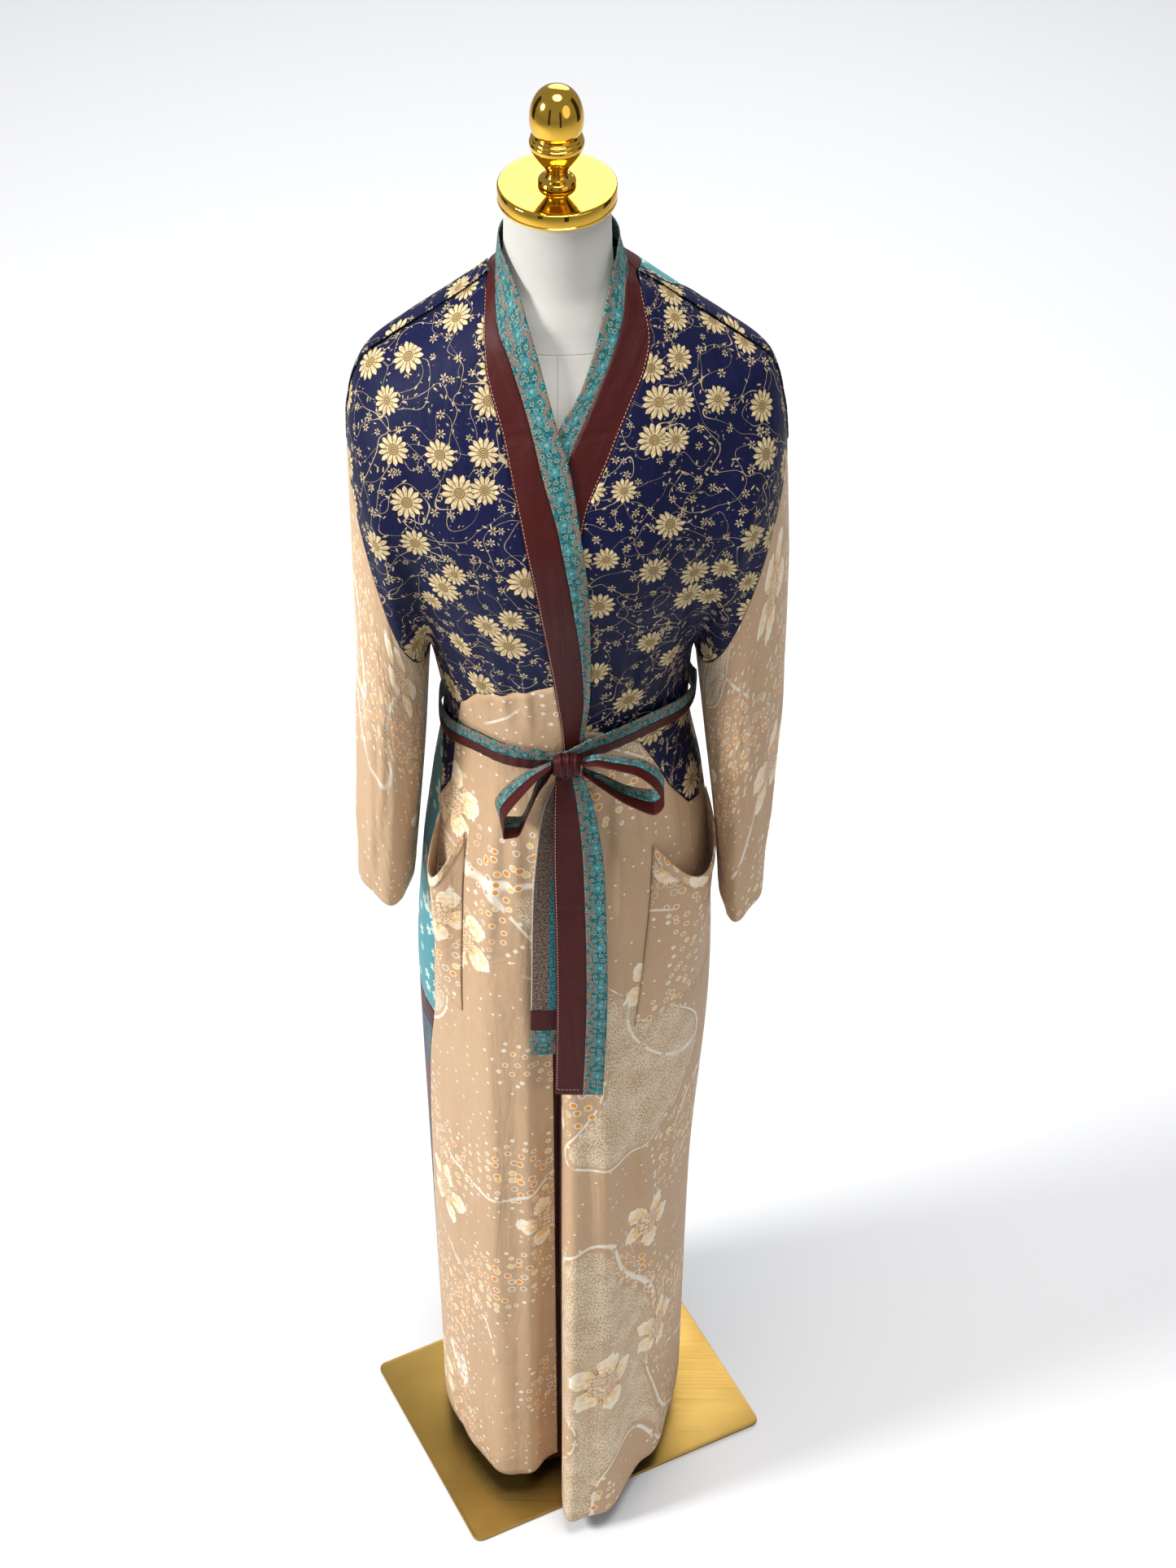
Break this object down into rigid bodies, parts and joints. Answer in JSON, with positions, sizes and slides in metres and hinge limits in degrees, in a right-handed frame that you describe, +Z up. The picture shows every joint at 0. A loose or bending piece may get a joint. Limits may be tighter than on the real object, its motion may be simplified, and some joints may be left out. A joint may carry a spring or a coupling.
{
  "type": "patchwork robe on a dress form",
  "caption": "Long belted wrap robe in patchwork of printed cloths, on a smooth limbless dress form with a gold neck cap and finial, standing on a thin rectangular base plate.",
  "frame": {"origin": "centre of the base plate's underside", "axes": "+Z up, -Y towards the robe's front, +X towards the wearer's left"},
  "size_m": [0.4256, 0.387, 1.669],
  "materials": {
    "navy_cotton": "navy cotton printed with cream daisies and thin vines",
    "beige_print": "tan cotton printed with white dots, large pale flowers and speckled areas",
    "turquoise_print": "turquoise cotton with a fine floral print",
    "maroon_satin": "plain maroon satin",
    "red_paisley": "brown-red cotton with a paisley print",
    "teal_cotton": "dark teal cotton",
    "linen": "off-white linen cover",
    "polished_gold": "polished, gold coloured",
    "brushed_bronze": "brushed, bronze-gold coloured"
  },
  "bodies": {
    "root": {"yoke_right": "navy_cotton", "yoke_left": "navy_cotton", "skirt_right": "beige_print", "skirt_left": "beige_print", "back_yoke": "turquoise_print", "back_waist": "red_paisley", "back_skirt": "turquoise_print", "back_border": "maroon_satin", "back_hem": "teal_cotton", "sleeve_right": "beige_print", "sleeve_left": "beige_print", "band_turquoise_right": "turquoise_print", "band_turquoise_left": "turquoise_print", "band_turquoise_neck": "turquoise_print", "band_maroon_right": "maroon_satin", "band_maroon_left": "maroon_satin", "band_maroon_neck": "maroon_satin", "edge_maroon_right": "maroon_satin", "edge_turquoise_right": "turquoise_print", "pocket_right": "beige_print", "pocket_left": "beige_print", "belt_maroon": "maroon_satin", "belt_turquoise": "turquoise_print", "belt_knot": "maroon_satin", "loop_maroon_right": "maroon_satin", "loop_turquoise_right": "turquoise_print", "loop_maroon_left": "maroon_satin", "loop_turquoise_left": "turquoise_print", "tail_front_maroon": "maroon_satin", "tail_front_turquoise": "turquoise_print", "tail_rear_top": "turquoise_print", "tail_rear_block": "maroon_satin", "tail_rear_tip": "turquoise_print", "dress_form": "linen", "neck_cap": "polished_gold", "finial": "polished_gold", "pole": "brushed_bronze", "base_plate": "brushed_bronze"}
  },
  "joints": []
}
